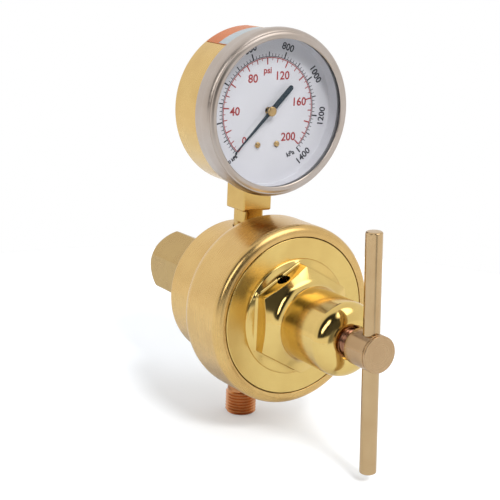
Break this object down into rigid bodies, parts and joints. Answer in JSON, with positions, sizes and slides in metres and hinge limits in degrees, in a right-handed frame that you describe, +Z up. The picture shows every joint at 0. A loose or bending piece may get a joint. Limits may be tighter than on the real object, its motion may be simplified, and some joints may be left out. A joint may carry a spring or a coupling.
{
  "type": "gas regulator",
  "caption": "Brass single-stage gas pressure regulator with a T-handle adjusting screw, hexagon bonnet, dial gauge, nut inlet and threaded outlet.",
  "frame": {"origin": "on the regulator's main axis, in the plane of the inlet nut's rear face", "axes": "+Y from the T-handle to the inlet nut along the main axis, +Z up to the gauge, +X to the right as seen from the T-handle"},
  "size_m": [0.0808, 0.1664, 0.1808],
  "materials": {
    "brass_body": "satin tan-gold brass, fine turned grain",
    "brass_bonnet": "polished yellow brass",
    "brass_tan": "satin pinkish-tan brass",
    "brass_inner": "plain machined brass",
    "brass_dull": "dull forged brass",
    "brass_outlet": "machined brass with a red-brown reflection",
    "brass_socket": "machined brass",
    "brass_case": "brushed gold-coloured case",
    "bezel_metal": "silvery tan turned ring",
    "spring_steel": "bright steel",
    "diaphragm_rubber": "black fabric-reinforced rubber",
    "gasket_rubber": "black rubber",
    "seat_nylon": "off-white nylon",
    "sintered_bronze": "porous sintered bronze",
    "copper_gasket": "soft copper",
    "gauge_glass": "clear flat window",
    "dial_enamel": null,
    "pointer_paint": "black paint",
    "tube_bronze": "bright phosphor bronze",
    "label_orange": "blank coloured label"
  },
  "bodies": {
    "regulator": {"body": "brass_body", "bonnet": "brass_bonnet", "slip_ring": "brass_inner", "diaphragm": "diaphragm_rubber", "adjusting_spring": "spring_steel", "nozzle": "brass_inner", "poppet_spring": "spring_steel", "spring_retainer": "brass_inner", "inlet_gasket": "copper_gasket", "inlet_nipple": "brass_dull", "inlet_filter": "sintered_bronze", "outlet_nipple": "brass_outlet", "gauge_socket": "brass_socket", "gauge_case": "brass_case", "gauge_bezel": "bezel_metal", "gauge_lens": "gauge_glass", "lens_gasket": "gasket_rubber", "case_screw_left": "spring_steel", "case_screw_right": "spring_steel", "case_label": "label_orange", "gauge_dial": "dial_enamel", "dial_screw_left": "brass_inner", "dial_screw_right": "brass_inner", "movement_front_plate": "brass_inner", "movement_rear_plate": "brass_inner", "movement_pillar_left": "brass_inner", "movement_pillar_right": "brass_inner", "movement_screw_left": "spring_steel", "movement_screw_right": "spring_steel", "hairspring": "spring_steel", "bourdon_tube": "tube_bronze"},
    "button": {"spring_button": "brass_inner", "thrust_ball": "spring_steel"},
    "handle": {"adjusting_screw": "brass_tan", "t_bar": "brass_tan"},
    "valve": {"diaphragm_plate": "brass_inner", "valve_pin": "spring_steel", "seat_disc": "seat_nylon", "poppet": "brass_inner"},
    "nut": {"inlet_nut": "brass_dull"},
    "needle": {"pointer": "pointer_paint", "pointer_hub": "brass_inner", "pinion_arbor": "spring_steel"},
    "sector": {"sector_gear": "brass_inner", "sector_shaft": "spring_steel", "link_pin_tail": "spring_steel"},
    "link": {"tip_link": "brass_inner"},
    "tube_tip": {"bourdon_tip": "brass_inner", "link_pin_tip": "spring_steel"}
  },
  "joints": [
    {"name": "screw_travel", "type": "slide", "parent": "regulator", "child": "button", "axis": [0, 1, 0], "range_m": [-0.00635, 0.00181], "deforming": ["adjusting_spring"]},
    {"name": "screw_turn", "type": "hinge", "parent": "button", "child": "handle", "pos_m": [0, -0.1607, 0], "axis": [0, 1, 0], "range_deg": [-1262, 362]},
    {"name": "valve_lift", "type": "slide", "parent": "regulator", "child": "valve", "axis": [0, 1, 0], "range_m": [0, 0.0008], "stiffness_N_per_m": 2000, "deforming": ["diaphragm", "poppet_spring"]},
    {"name": "nut_spin", "type": "hinge", "parent": "regulator", "child": "nut", "pos_m": [0, -0.0165, 0], "axis": [0, 1, 0], "continuous": true},
    {"name": "pointer_turn", "type": "hinge", "parent": "regulator", "child": "needle", "pos_m": [0, -0.0655, 0.0864], "axis": [0, 1, 0], "range_deg": [0, 270], "stiffness_Nm_per_rad": 0.0001, "deforming": ["hairspring", "bourdon_tube"]},
    {"name": "sector_turn", "type": "hinge", "parent": "regulator", "child": "sector", "pos_m": [0, -0.0655, 0.0734], "axis": [0, 1, 0], "range_deg": [-30.5, 0.5]},
    {"name": "link_swing", "type": "hinge", "parent": "sector", "child": "link", "pos_m": [-0.00122, -0.0655, 0.06651], "axis": [0, 1, 0], "range_deg": [-0.5, 30.5]},
    {"name": "tip_swing", "type": "hinge", "parent": "regulator", "child": "tube_tip", "pos_m": [0.01761, -0.0655, 0.09698], "axis": [0, 1, 0], "range_deg": [-9, 0.2]}
  ],
  "couplings": [
    {"joint": "screw_turn", "follows": "screw_travel", "rad_per_m": 3463.2},
    {"joint": "sector_turn", "follows": "pointer_turn", "ratio": -0.11111},
    {"joint": "link_swing", "follows": "pointer_turn", "ratio": 0.11111},
    {"joint": "tip_swing", "follows": "pointer_turn", "ratio": -0.032069}
  ]
}
